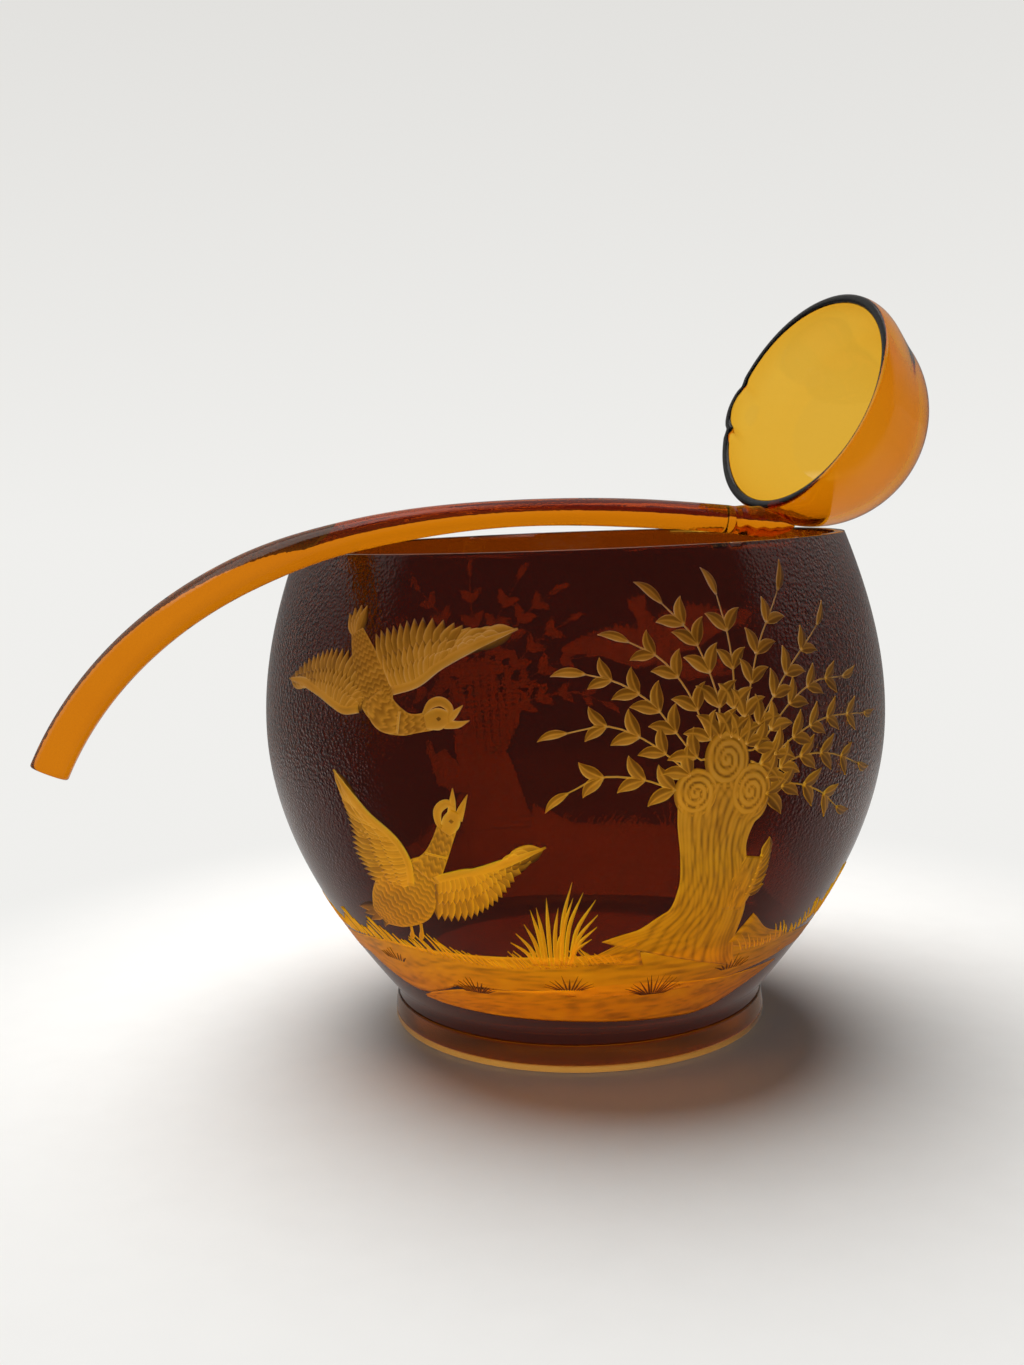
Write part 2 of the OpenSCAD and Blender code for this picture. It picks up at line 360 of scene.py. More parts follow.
def makeBowlBody():
    blankTop = bowl["rimHeight"] + 6 * mm
    outer = bowl["ruby"] + bowl["gap"]
    inner = bowl["ruby"] + bowl["amber"]
    low = bowl["creaseHeight"] + bowl["gap"]
    cove = heights(low + 1 * mm, bowl["flankHeight"], 6)
    side = heights(bowl["flankHeight"], blankTop, 72)[1:]
    outside = [wallPoint(z, outer) for z in cove + side]
    base = [Vector((0, 0, low)), Vector((outside[0].x - 0.3 * mm, 0, low))]
    reach = inner + bowl["floorCorner"]
    corner = bowl["floorHeight"] + bowl["floorCorner"] / 2
    for _ in range(12):  # settles on the height where the floor's round corner runs into the wall
        slope = sideSlope(corner)
        corner = bowl["floorHeight"] + bowl["floorCorner"] - reach * slope / math.hypot(1, slope)
    inside = [wallPoint(z, inner) for z in heights(corner, blankTop, 70)]
    middle = wallPoint(corner, reach)
    lean = math.atan(sideSlope(corner))
    floorRound = []
    for i in range(1, 11):
        a = lean + (math.pi / 2 - lean) * i / 10
        floorRound.append(middle + bowl["floorCorner"] * Vector((math.cos(a), 0, -math.sin(a))))
    profile = base + outside + inside[::-1] + floorRound + [Vector((0, 0, bowl["floorHeight"]))]
    bm = spun(profile, bowl["sides"], closed=False)
    grindRim(bm, 0.5 * mm)
    body = newMesh("amberVessel", bm, [amberGlass])
    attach(body, "bowl")
    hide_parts("bowl_body")


def makeOverlay():
    blankTop = bowl["rimHeight"] + 6 * mm
    low = bowl["creaseHeight"] + bowl["gap"]
    zs = heights(low + 0.2 * mm, bowl["flankHeight"], 6) + heights(bowl["flankHeight"], blankTop, 72)[1:]
    outside = [wallPoint(z, bowl["rubyInset"]) for z in zs]
    inside = [wallPoint(z, bowl["ruby"]) for z in zs]
    bm = spun(outside + inside[::-1], bowl["sides"], closed=True)
    grindRim(bm, 0.08 * mm)
    skin = newMesh("rubyLayer", bm, [rubyGlass])
    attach(skin, "bowl")
    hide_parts("wall_overlay")


makeBowlBody()
makeOverlay()
print("bowl is blown and cased")

foot = {
    "radius": 76.7 * mm,
    "height": 10 * mm,
    "edge": 3 * mm,
    "waistTurn": 60,
    "skin": 0.6 * mm,
    "round": 0.8 * mm,
}


def footSide(z):
    narrowing = foot["radius"] - bowl["neckRadius"]
    return foot["radius"] - narrowing * bend(z / foot["height"], foot["waistTurn"])


def goldEdgeMaterial():
    # bare amber at the foot's edge: the thick glass glows like old gold
    mat, n = newMaterial("goldEdge")
    where = n.add("TexCoord")
    worn = n.add("TexNoise", {"Vector": where.outputs["Object"], "Scale": 90.0, "Detail": 5.0})
    colour = n.blend(worn.outputs["Fac"], (0.66, 0.34, 0.07, 1), (0.52, 0.25, 0.05, 1))
    skin = n.add("Bump", {"Height": worn.outputs["Fac"], "Strength": 0.4, "Distance": 0.1 * mm})
    shader = n.add("BsdfPrincipled", {"Base Color": colour, "Roughness": 0.28,
                                      "Transmission Weight": 0.45, "IOR": 1.5, "Normal": skin.outputs[0]})
    n.add("OutputMaterial", {"Surface": shader.outputs[0]})
    return mat


goldEdge = goldEdgeMaterial()


def makeFoot():
    sole = 0.02 * mm
    top = foot["height"] - 0.05 * mm
    edge = [Vector((0, 0, sole))]
    for i in range(5):  # the round under the edge
        a = math.pi / 2 * i / 4
        edge.append(Vector((foot["radius"] - foot["round"] + foot["round"] * math.sin(a), 0,
                            foot["round"] * (1 - math.cos(a)) + sole)))
    bare = [Vector((footSide(z), 0, z)) for z in heights(foot["round"] * 1.3, foot["edge"] - 0.2 * mm, 3)]
    core = [Vector((footSide(z) - foot["skin"] - bowl["gap"], 0, z))
            for z in heights(foot["edge"], top, 8)]
    bm = spun(edge + bare + core + [Vector((0, 0, top))], bowl["sides"], closed=False)
    for face in bm.faces:
        middle = face.calc_center_median()
        if middle.z < foot["edge"] - 0.1 * mm and math.hypot(middle.x, middle.y) > foot["radius"] - 2 * mm:
            face.material_index = 1
    base = newMesh("footBlock", bm, [footGlass, goldEdge])
    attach(base, "bowl")
    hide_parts("foot")


def makeFootSkin():
    zs = heights(foot["edge"] + 0.05 * mm, foot["height"] - 0.05 * mm, 10)
    outside = [Vector((footSide(z) - 0.02 * mm, 0, z)) for z in zs]
    inside = [Vector((footSide(z) - foot["skin"], 0, z)) for z in zs]
    bm = spun(outside + inside[::-1], bowl["sides"], closed=True)
    edges = [e for e in bm.edges if e.calc_face_angle(0) > 0.8]
    bmesh.ops.bevel(bm, geom=edges, affect="EDGES", offset=0.12 * mm, segments=2, profile=0.5, material=-1)
    skin = newMesh("footBand", bm, [bandGlass])
    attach(skin, "bowl")
    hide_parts("foot_overlay")


bandGlass = glassMaterial("bandGlass", (0.30, 0.12, 0.03, 1), (0.36, 0.16, 0.045, 1),
                          grain=0.02, rough=0.12)
makeFoot()
makeFootSkin()
print("foot is in place")

engraving = {
    "relief": 0.30 * mm,   # the highest a cut's crown may stand
    "lift": 0.03 * mm,     # its edge over the ruby layer
    "root": 0.27 * mm,     # how far it goes through the ruby layer
}


def onBowl(angle, height, lift):
    # angle in degrees from the front, positive towards +X; lift is over the ruby layer
    slope = sideSlope(height)
    scale = math.hypot(1, slope)
    outward = lift - bowl["rubyInset"]
    r = sideRadius(height) + outward / scale
    a = math.radians(angle)
    return Vector((r * math.sin(a), -r * math.cos(a), height - outward * slope / scale))


def shifted(angle, height, across, upward):
    # walks along the glass by true lengths
    newHeight = height + upward / math.hypot(1, sideSlope(height))
    return angle + math.degrees(across / sideRadius(newHeight)), newHeight


def shiftMm(point, du, dv):
    where = shifted(point[0], point[1] * mm, du * mm, dv * mm)
    return where[0], where[1] / mm


def alongCurve(points, t):
    # a smooth curve through the points, of any number of values each
    last = len(points) - 1
    x = min(max(t, 0.0), 1.0) * last
    i = min(int(x), last - 1)
    u = x - i
    p1, p2 = points[i], points[i + 1]
    p0 = points[i - 1] if i > 0 else [2 * a - b for a, b in zip(p1, p2)]
    p3 = points[i + 2] if i + 2 <= last else [2 * b - a for a, b in zip(p1, p2)]
    return [0.5 * (2 * b + (c - a) * u + (2 * a - 5 * b + 4 * c - d) * u * u
                   + (3 * b - a - 3 * c + d) * u ** 3)
            for a, b, c, d in zip(p0, p1, p2, p3)]


edgeSteps = (-1.0, -0.8, 0.0, 0.8, 1.0)
leafSteps = (-1.0, -0.75, -0.3, 0.0, 0.3, 0.75, 1.0)
fineSteps = tuple(round(-1 + i / 8, 3) for i in range(17))


def plainRelief(t, j):
    # height share and brightness: a crowned cut with a painted highlight along its edge
    return 1 - j * j, 0.45 + 0.5 * abs(j) ** 6


def cut(bm, path, widths, tone=0.5, crown=0.6, along=8, across=edgeSteps, relief=plainRelief, base=0.0):
    # one stroke of the wheel: a strip along the path, closed behind, that ends inside the amber's face
    shadeLayer = bm.verts.layers.float.get("shade") or bm.verts.layers.float.new("shade")
    toneLayer = bm.verts.layers.float.get("tone") or bm.verts.layers.float.new("tone")
    path = [(a, z * mm) for a, z in path]
    widths = [(w * mm,) for w in widths]
    made = bmesh.ops.create_grid(bm, x_segments=along, y_segments=len(across) - 1, size=1)
    for v in made["verts"]:
        t = (v.co.x + 1) / 2
        j = across[round((v.co.y + 1) / 2 * (len(across) - 1))]
        angle, height = alongCurve(path, t)
        ahead, aheadHeight = alongCurve(path, min(t + 0.02, 1))
        back, backHeight = alongCurve(path, max(t - 0.02, 0))
        du = math.radians(ahead - back) * sideRadius(height)
        dv = (aheadHeight - backHeight) * math.hypot(1, sideSlope(height))
        size = math.hypot(du, dv) or 1
        half = max(alongCurve(widths, t)[0], 0.02 * mm) / 2
        angle, height = shifted(angle, height, -dv / size * half * j, du / size * half * j)
        rise, shade = relief(t, j)
        lift = engraving["lift"] + base * mm + engraving["relief"] * crown * max(rise, 0.0)
        v.co = onBowl(angle, height, lift)
        v[shadeLayer] = shade
        v[toneLayer] = tone
    faces = list({f for v in made["verts"] for f in v.link_faces})
    grown = bmesh.ops.extrude_face_region(bm, geom=faces)
    for v in grown["geom"]:
        if isinstance(v, bmesh.types.BMFace):
            v.material_index = 1
        if isinstance(v, bmesh.types.BMVert):
            angle = math.degrees(math.atan2(v.co.x, -v.co.y))
            v.co = onBowl(angle, v.co.z, -engraving["root"])


def leafRelief(t, j):
    # two facets that meet on the midrib; the colour paints one facet lighter than the other, a highlight
    # on the midrib and a pale highlight round the outline
    outline = max(abs(j) ** 8, (2 * t - 1) ** 12)
    return 1 - abs(j), 0.30 + 0.16 * j + 0.55 * outline + 0.25 * math.exp(-(j * 6) ** 2)


def leaf(bm, angle, height, heading, length, width, tone, curl=0.0):
    # heading in degrees from straight right, turning up; the tip curls away from the stem
    a = math.radians(heading)
    points = []
    for share in (0.0, 0.3, 0.6, 0.85, 1.0):
        side = curl * length * (share ** 3 - share * 0.15)
        du = math.cos(a) * length * share - math.sin(a) * side
        dv = math.sin(a) * length * share + math.cos(a) * side
        points.append(shiftMm((angle, height), du, dv))
    cut(bm, points, (width * 0.25, width, width * 1.02, width * 0.5, 0.05), tone=tone, along=9,
        across=leafSteps, relief=leafRelief, crown=0.9, base=0.04)


def twig(bm, points, leafLength, seed, width=0.6, first=0.2):
    # a willow branch: a thin stem with paired leaves and one at the tip
    chance = random.Random(seed)
    cut(bm, points, [width * 1.3] + [width] * (len(points) - 2) + [width * 0.7], tone=0.62, along=14,
        across=(-1.0, 0.0, 1.0), crown=0.5, base=0.06)
    span = 0.0
    for k in range(20):
        a0, z0 = alongCurve(points, k / 20)
        a1, z1 = alongCurve(points, (k + 1) / 20)
        span += math.hypot(math.radians(a1 - a0) * sideRadius(z0 * mm) / mm, z1 - z0)
    pairs = max(3, round(span * (1 - first) / (leafLength * 0.84)))
    for k in range(pairs + 1):
        t = first + (1 - first) * k / pairs
        angle, height = alongCurve(points, t)
        a0, z0 = alongCurve(points, max(t - 0.04, 0))
        a1, z1 = alongCurve(points, min(t + 0.04, 1))
        du = math.radians(a1 - a0) * sideRadius(height * mm)
        dv = (z1 - z0) * mm * math.hypot(1, sideSlope(height * mm))
        heading = math.degrees(math.atan2(dv, du))
        size = leafLength * (1.0 - 0.22 * t) * chance.uniform(0.92, 1.08)
        tone = chance.uniform(0.35, 0.6)
        if k == pairs:
            leaf(bm, angle, height, heading + chance.uniform(-8, 8), size * 1.25, size * 0.34, tone, 0.25)
        else:
            leaf(bm, angle, height, heading + chance.uniform(25, 33), size, size * 0.42, tone, 0.26)
            leaf(bm, angle, height, heading - chance.uniform(25, 33), size, size * 0.42, tone - 0.1, -0.26)


def colourRamp(n, value, stops):
    ramp = n.add("ValToRGB", {"Fac": value})
    for place, colour in stops[1:-1]:
        ramp.color_ramp.elements.new(place)
    for element, (place, colour) in zip(ramp.color_ramp.elements, stops):
        element.position, element.color = place, colour
    return ramp.outputs["Color"]


def frostedAmber(name, levels):
    # wheel-cut amber: frosted, lit through from behind, with painted shade in its grooves and painted
    # highlights on its edges
    mat, n = newMaterial(name)
    where = n.add("TexCoord")
    axes = n.add("SeparateXYZ", {0: where.outputs["Object"]})
    tone = n.add("Attribute", attribute_name="tone")
    shade = n.add("Attribute", attribute_name="shade")
    cloud = n.add("TexNoise", {"Vector": where.outputs["Object"], "Scale": 120.0, "Detail": 4.0})
    lean = n.calc("MULTIPLY_ADD", cloud.outputs["Fac"], 0.3, -0.4)
    level = n.calc("ADD", shade.outputs["Fac"], lean)
    level = n.calc("MULTIPLY_ADD", tone.outputs["Fac"], 0.5, level, use_clamp=True)
    # painted light: a ramp over height makes the cuts glow orange low down and duller towards the rim
    tall = n.calc("MULTIPLY", axes.outputs["Z"], 1 / bowl["rimHeight"])
    glow = colourRamp(n, level, levels)
    tint = colourRamp(n, tall, frost["paintedGlowTints"])
    colour = n.add("Mix", {"Factor": 1.0, 6: glow, 7: tint}, data_type="RGBA", blend_type="MULTIPLY")
    lines = n.add("TexNoise", {"Vector": where.outputs["Object"], "Scale": 1400.0, "Detail": 2.0})
    skin = n.add("Bump", {"Height": lines.outputs["Fac"], "Strength": 0.4, "Distance": 0.04 * mm})
    rough = n.add("MapRange", {"Value": cloud.outputs["Fac"], "To Min": 0.3, "To Max": 0.5})
    shader = n.add("BsdfPrincipled", {"Base Color": colour.outputs[2], "Roughness": rough.outputs[0],
                                      "IOR": 1.3, "Transmission Weight": 0.4, "Normal": skin.outputs[0]})
    n.add("OutputMaterial", {"Surface": shader.outputs[0]})
    return mat


def plainAmber(name, colour):
    mat, n = newMaterial(name)
    shader = n.add("BsdfPrincipled", {"Base Color": colour, "Roughness": 0.8, "IOR": 1.3})
    n.add("OutputMaterial", {"Surface": shader.outputs[0]})
    return mat


frost = {
    "root": (1.0, 0.74, 0.06, 1),
    # from the painted shade of the grooves up to the painted highlights of the edges
    "levels": [(0.0, (0.07, 0.026, 0.002, 1)), (0.3, (0.38, 0.16, 0.01, 1)), (0.55, (0.80, 0.37, 0.03, 1)),
               (0.85, (0.95, 0.52, 0.10, 1)), (1.0, (0.98, 0.70, 0.34, 1))],
    # painted light by height: a deep orange glow at the ground, as if lit through from below, growing
    # duller up to the twigs
    "paintedGlowTints": [(0.15, (1.0, 0.56, 0.0, 1)), (0.25, (1.0, 0.76, 0.01, 1)), (0.45, (0.80, 0.76, 0.04, 1)),
              (0.75, (0.56, 0.53, 0.5, 1)), (1.0, (0.36, 0.31, 0.5, 1))],
}
cutAmber = frostedAmber("cutAmber", frost["levels"])
cutRoot = plainAmber("cutRoot", frost["root"])


def finishCut(name, bm):
    bmesh.ops.recalc_face_normals(bm, faces=bm.faces[:])
    piece = newMesh(name, bm, [cutAmber, cutRoot])
    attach(piece, "bowl")
    return piece


# the pollard willow: knots on a fluted trunk, and its crown of twigs
frontWillow = {
    "trunk": [(20, 50), (22, 58), (24, 68), (24, 80), (23, 92), (23, 103), (24, 112), (24, 117)],
    "trunkWidths": [62, 42, 32, 27, 25, 30, 36, 24],
    "roots": [[(12, 55), (7, 53), (2, 51)], [(33, 58), (40, 52), (50, 49)]],
    "stub": [(29, 68), (30.3, 79), (31.3, 88)],
    "knots": [(19, 114, 16, 17), (28.6, 112.5, 17, 20), (24.2, 124.5, 17, 20)],
    "twigs": [
        [(15, 116), (10, 120), (4, 121), (-1, 116)],
        [(18, 120), (14, 128), (10, 134), (5, 138), (-1, 136)],
        [(19, 126), (15, 137), (12, 145), (7, 152), (2, 155)],
        [(21, 133), (18, 148), (14, 159), (9, 165)],
        [(23, 132), (23, 145), (21, 159), (19, 168), (15, 177)],
        [(25, 133), (26, 148), (26, 164), (25, 179)],
        [(26.5, 132), (29, 148), (32, 163), (38, 179)],
        [(28, 130), (33, 143), (38, 154), (46, 166)],
        [(30, 128), (36, 140), (43, 147), (51, 147)],
        [(31, 122), (38, 130), (46, 134), (58, 132)],
        [(32, 117), (38, 122), (46, 121), (56, 114)],
        [(32, 111), (37, 113), (44, 108), (50, 100)],
    ],
    "leafLength": 11,
}


def knotRelief(rings):
    def relief(t, j):
        x, y = 2 * t - 1, j * math.sqrt(max(1 - (2 * t - 1) ** 2, 0))
        r = math.hypot(x, y)
        turn = math.atan2(y, x) / math.tau
        ring = 0.5 + 0.5 * math.cos((r * rings + turn) * math.tau)  # one long spiral line
        line = (1 - ring) ** 3
        # painted shade: the spiral groove and the knot's rim are darker
        return 0.5 * (1 - r ** 4) + 0.4 * ring, 0.62 - 0.5 * line * (1 - r ** 8) - 0.35 * r ** 16
    return relief


def barkRelief(flutes, seed):
    def relief(t, j):
        sway = noise.noise(Vector((t * 2.6, j * 0.9, seed))) * 0.5
        sway += noise.noise(Vector((t * 9, j * 3, seed + 9))) * 0.1
        groove = (0.5 + 0.5 * math.cos((j + sway) * math.pi * flutes)) ** 0.35
        fine = (0.5 + 0.5 * math.cos((j * 1.9 - sway * 1.6) * math.pi * flutes)) ** 0.5
        # painted shade in the flutes' grooves, lighter on their ridges, and a painted highlight along the
        # trunk's edges
        shade = 0.20 + 0.24 * groove + 0.14 * fine + 0.25 * abs(j) ** 20
        return 0.25 + 0.5 * groove * (1 - j ** 6) + 0.2 * fine, shade
    return relief


def makeWillow(name, tree, seed):
    bm = bmesh.new()
    for k, points in enumerate(tree["twigs"]):
        near = min(tree["knots"], key=lambda knot: math.dist(knot[:2], points[0][:2]))
        start = tuple(0.62 * a + 0.38 * b for a, b in zip(points[0], near))
        twig(bm, [start] + points, tree["leafLength"], seed + k)
    finishCut(name + "Crown", bm)
    bm = bmesh.new()
    for k, points in enumerate(tree["roots"]):
        cut(bm, points, (16, 9, 2), tone=0.5, along=10, across=fineSteps,
            relief=barkRelief(3, seed + k), crown=0.7)
    cut(bm, tree["trunk"], tree["trunkWidths"], tone=0.55, along=64,
        across=tuple(i / 40 - 1 for i in range(81)), relief=barkRelief(8, seed), crown=0.8, base=0.02)
    for k in range(7):
        angle, height = alongCurve(tree["stub"], 0.25 + 0.12 * k)
        leaf(bm, angle + 1.5, height, 8 + 9 * k, 7.5, 4, 0.3 + 0.12 * (k % 2), 0.3)
    cut(bm, tree["stub"], (9, 12, 8), tone=0.5, along=14, across=fineSteps, relief=barkRelief(3, seed + 5),
        crown=0.9, base=0.05)
    for k, (angle, height, wide, tall) in enumerate(tree["knots"]):
        count = 20
        ovals = [wide * math.sqrt(max(1 - (2 * i / count - 1) ** 2, 0)) for i in range(count + 1)]
        path = [(angle, height + tall * (i / count - 0.5)) for i in range(count + 1)]
        cut(bm, path, ovals, tone=0.6, along=24, across=tuple(i / 10 - 1 for i in range(21)),
            relief=knotRelief(3.5), crown=0.8, base=0.08 + 0.02 * k)
    finishCut(name + "Trunk", bm)


makeWillow("willow", frontWillow, 11)
print("willow is cut")

divingDuck = {
    "tail": {"root": (-38.7, 166), "tips": [(-41.5, 174), (-40.3, 176), (-38.8, 177), (-37.4, 177)],
             "width": 5},
    "body": [(-38.8, 168), (-36.6, 160), (-34.2, 151), (-32.2, 144), (-29.5, 139.5)],
    "bodyWidths": [6, 11, 15, 14, 5],
    "neck": [(-33.4, 147), (-31.4, 141.2), (-28, 138.3), (-25.5, 138.2), (-22.5, 139.5)],
    "neckWidths": [9, 12.5, 9, 6.5, 6.5],
    "ring": [(-28.2, 142), (-28.6, 134.5)],
    "head": [(-23.5, 139), (-21.3, 140.2), (-19.4, 140.6)],
    "headWidth": 7.5,
    "crest": [(-23.8, 141.5), (-22.6, 145), (-20.8, 146), (-19.3, 143.5), (-19.8, 139.5)],
    "beaks": [[(-20, 139.5), (-18.6, 142), (-17.2, 145)], [(-20.2, 138.6), (-18, 138.6), (-16.1, 140)]],
    "wings": [
        {"edge": [(-29.8, 149), (-25.3, 152), (-21.4, 158), (-16.1, 164), (-8.6, 170)],
         "tips": [(-34.9, 167), (-32.7, 169.5), (-30, 171), (-27.2, 173), (-23.7, 173.5), (-19.5, 172),
                  (-16.4, 170.5), (-13.5, 170), (-8.6, 170)],
         "feathers": 17, "width": 6},
        {"edge": [(-36.7, 142), (-40, 141), (-43, 143), (-46.8, 146), (-52, 148.6), (-57.7, 148.6)],
         "tips": [(-35.1, 144), (-33.6, 150), (-34.1, 154), (-38.2, 160.5), (-43.3, 162), (-47.7, 160),
                  (-52.5, 156), (-57.7, 148.8)],
         "feathers": 24, "width": 5},
    ],
    "legs": [],
}
risingDuck = {
    "tail": {"root": (-38.5, 67), "tips": [(-47.3, 64.5), (-46.4, 62), (-45.3, 59.5), (-41.5, 58)],
             "width": 5, "tone": 0.12},
    "body": [(-25.2, 88), (-28.5, 81), (-32.5, 74), (-37.5, 67), (-41.3, 62.5)],
    "bodyWidths": [9, 19, 24, 18, 8],
    "neck": [(-26.5, 84), (-24, 90), (-22.2, 96), (-20.6, 103)],
    "neckWidths": [13, 9, 7.5, 7],
    "ring": [(-25.3, 92.8), (-21.3, 91.6)],
    "head": [(-21, 101), (-19.8, 105), (-18.9, 109)],
    "headWidth": 6.5,
    "crest": [(-18.9, 110.5), (-20.4, 111.5), (-21.9, 109), (-22.1, 105), (-21.4, 101)],
    "beaks": [[(-19.7, 107), (-19.3, 112), (-19.1, 117)], [(-18.6, 106), (-17.8, 110), (-16.7, 115)]],
    "wings": [
        {"edge": [(-29.9, 79), (-29.3, 87), (-30.1, 93), (-32, 98), (-36, 104), (-39.5, 111),
                  (-42.9, 119)],
         "tips": [(-37, 74), (-39.3, 78), (-40.5, 84), (-41.4, 90), (-40.8, 97), (-41.2, 104), (-42, 111),
                  (-42.9, 119)],
         "feathers": 22, "width": 5},
        {"edge": [(-24.5, 82.5), (-19.1, 86), (-16.5, 87), (-11.3, 91), (-4.7, 97)],
         "tips": [(-27, 66), (-23.5, 66), (-19.8, 67.5), (-16.7, 71), (-14, 75), (-11.7, 80), (-9.5, 86),
                  (-4.7, 97)],
         "feathers": 18, "width": 6},
    ],
    "legs": [[(-33.6, 61), (-34.2, 57.5), (-35.2, 55)], [(-30.8, 63), (-31.6, 58.5), (-32.8, 55)]],
}


def scaleRelief(rows, columns):
    # overlapping small feathers, each with painted shade at its root and a painted highlight along its
    # rounded edge
    def relief(t, j):
        column = (j + 1) / 2 * columns
        along = t * rows
        first = along - 0.45 * math.sin(math.pi * column) ** 2
        row = math.floor(first)
        rise = first - row
        shade = 0.26 + 0.20 * rise + 0.16 * rise ** 3 + 0.25 * abs(j) ** 14
        return (1 - j * j) * 0.6 + 0.35 * rise * (1 - j ** 4), shade
    return relief


def featherRelief(t, j):
    # low with painted shade along one side, high with a painted highlight along the other and on the shaft
    side = (j + 1) / 2
    shaft = math.exp(-(j * 6) ** 2)
    shade = 0.05 + 0.46 * side ** 0.7 + 0.34 * side ** 9 + 0.10 * shaft
    return 0.3 * (1 - j * j) + 0.6 * side + 0.15 * shaft, shade


featherSteps = (-1.0, -0.6, -0.2, 0.0, 0.2, 0.6, 0.88, 1.0)
bladeSteps = (-1.0, -0.5, 0.2, 1.0)


# how far each layer of feathers reaches, how wide they are and how high they lie
featherLayers = ((1.0, 1.0, 0.02), (0.62, 0.8, 0.12), (0.36, 0.65, 0.2))


def makeWing(bm, wing, tone):
    count = wing["feathers"]
    for layer, (reach, sizing, lift) in enumerate(featherLayers):
        for k in range(count):
            s = (k + 0.5 * (layer % 2)) / count
            root = alongCurve(wing["edge"], 0.04 + 0.78 * s ** 1.15)
            tip = alongCurve(wing["tips"], min((k + 0.5) / (count - 0.3), 1))
            end = [a + (b - a) * reach for a, b in zip(root, tip)]
            spread = math.radians(end[0] - root[0]) * sideRadius(root[1] * mm) / mm
            length = math.hypot(spread, end[1] - root[1])
            if length < 2.5:
                continue
            middle = [(a + b) / 2 for a, b in zip(root, end)]
            middle[1] += 0.03 * spread
            width = wing["width"] * sizing * (0.75 + 0.35 * s)
            cut(bm, [root, middle, end], (width * 0.5, width, width * 1.1, width * 0.9, 0.1),
                tone=tone + 0.12 * layer - 0.1 * (k % 2), along=9, across=featherSteps,
                relief=featherRelief, crown=0.55, base=lift + 0.012 * (k % 3))
    cut(bm, wing["edge"], [3.4] * (len(wing["edge"]) - 1) + [0.6], tone=tone + 0.15, along=26,
        crown=0.7, base=0.24)


def makeDuck(name, duck, tone=0.5):
    bm = bmesh.new()
    tail = duck["tail"]
    for k, tip in enumerate(tail["tips"]):
        middle = [(a + b) / 2 for a, b in zip(tail["root"], tip)]
        cut(bm, [tail["root"], middle, tip], (2, tail["width"], 0.2),
            tone=tail.get("tone", tone) - 0.05 * (k % 2), along=9, across=featherSteps,
            relief=featherRelief, crown=0.6, base=0.015 * k)
    for path in duck["legs"]:
        cut(bm, path, (1.2, 1.4, 2.2, 0.8), tone=tone, along=7, crown=0.7)
    for wing in duck["wings"]:
        makeWing(bm, wing, tone - 0.05)
    bodySteps = tuple(i / 20 - 1 for i in range(41))
    cut(bm, duck["body"], duck["bodyWidths"], tone=tone, along=90, across=bodySteps,
        relief=scaleRelief(17, 5), crown=0.85, base=0.08)
    cut(bm, duck["neck"], duck["neckWidths"], tone=tone, along=32, across=fineSteps,
        relief=scaleRelief(7, 3), crown=0.8, base=0.16)
    cut(bm, duck["ring"], (0.9, 0.9), tone=tone + 0.25, along=8, crown=0.4, base=0.38)
    cut(bm, duck["crest"], (1.5, 3, 3.2, 2.6, 1), tone=tone, along=20, crown=0.8, base=0.1)
    for path in duck["beaks"]:
        cut(bm, path, (3.2, 2.4, 0.2), tone=tone + 0.12, along=8, crown=0.7, base=0.12)
    size = duck["headWidth"]
    cut(bm, duck["head"], (size * 0.7, size, size * 0.6), tone=tone + 0.08, along=14,
        across=fineSteps, crown=0.9, base=0.2)
    eye = alongCurve(duck["head"], 0.55)
    cut(bm, [shiftMm(eye, -0.9, 0), shiftMm(eye, 0.9, 0)], (0.2, 1.8, 0.2), tone=-0.2, along=6,
        crown=0.3, base=0.5)
    finishCut(name, bm)


makeDuck("divingDuck", divingDuck, 0.52)
makeDuck("risingDuck", risingDuck, 0.55)
print("ducks are cut")

ground = {
    "banks": [  # angle, height and width of each long cut, round the whole bowl
        [(-70, 45, 1), (-60, 44, 8), (-52, 41.5, 20), (-44, 39.5, 28), (-36, 41.5, 24), (-26, 44, 18),
         (-7, 44, 21), (10, 44, 24), (30, 43.5, 20), (45, 43.5, 15), (57, 43.5, 9), (68, 45, 1)],
        [(-43, 25.5, 1), (-36, 27, 8), (-24, 29, 15), (-7, 29.8, 19), (10, 30.5, 23), (24, 29, 22),
         (34, 28.5, 20), (44, 31.5, 11), (55, 35, 1)],
        [(52, 41, 1), (66, 42, 9), (84, 41, 14), (104, 42, 16), (126, 43, 18), (148, 44, 21),
         (172, 43, 22), (196, 43, 22), (216, 43, 20), (236, 42, 18), (256, 42, 14), (276, 42, 12),
         (296, 42, 9), (308, 41, 1)],
        [(112, 30, 1), (126, 29, 10), (150, 30, 17), (174, 29.5, 19), (200, 30, 18), (224, 29, 12),
         (244, 31, 1)],
    ],
}


def bankRelief(seed):
    def relief(t, j):
        ripple = noise.noise(Vector((t * 9, j * 5, seed)))
        fine = noise.noise(Vector((t * 40, j * 16, seed + 3)))
        # the ripples that raise the cut also brighten it, and a painted highlight runs along its edges
        shade = 0.54 + 0.22 * ripple + 0.24 * fine + 0.2 * abs(j) ** 16
        return 0.45 + 0.35 * ripple + 0.2 * fine, shade
    return relief


def makeGround():
    bm = bmesh.new()
    for k, bank in enumerate(ground["banks"]):
        path, widths = [b[:2] for b in bank], [b[2] for b in bank]
        steps = int(abs(path[-1][0] - path[0][0]) * 1.4)
        cut(bm, path, widths, tone=0.5, along=steps, across=tuple(i / 9 - 1 for i in range(19)),
            relief=bankRelief(k * 7), crown=0.5, base=0.01 * k)
    finishCut("ground", bm)


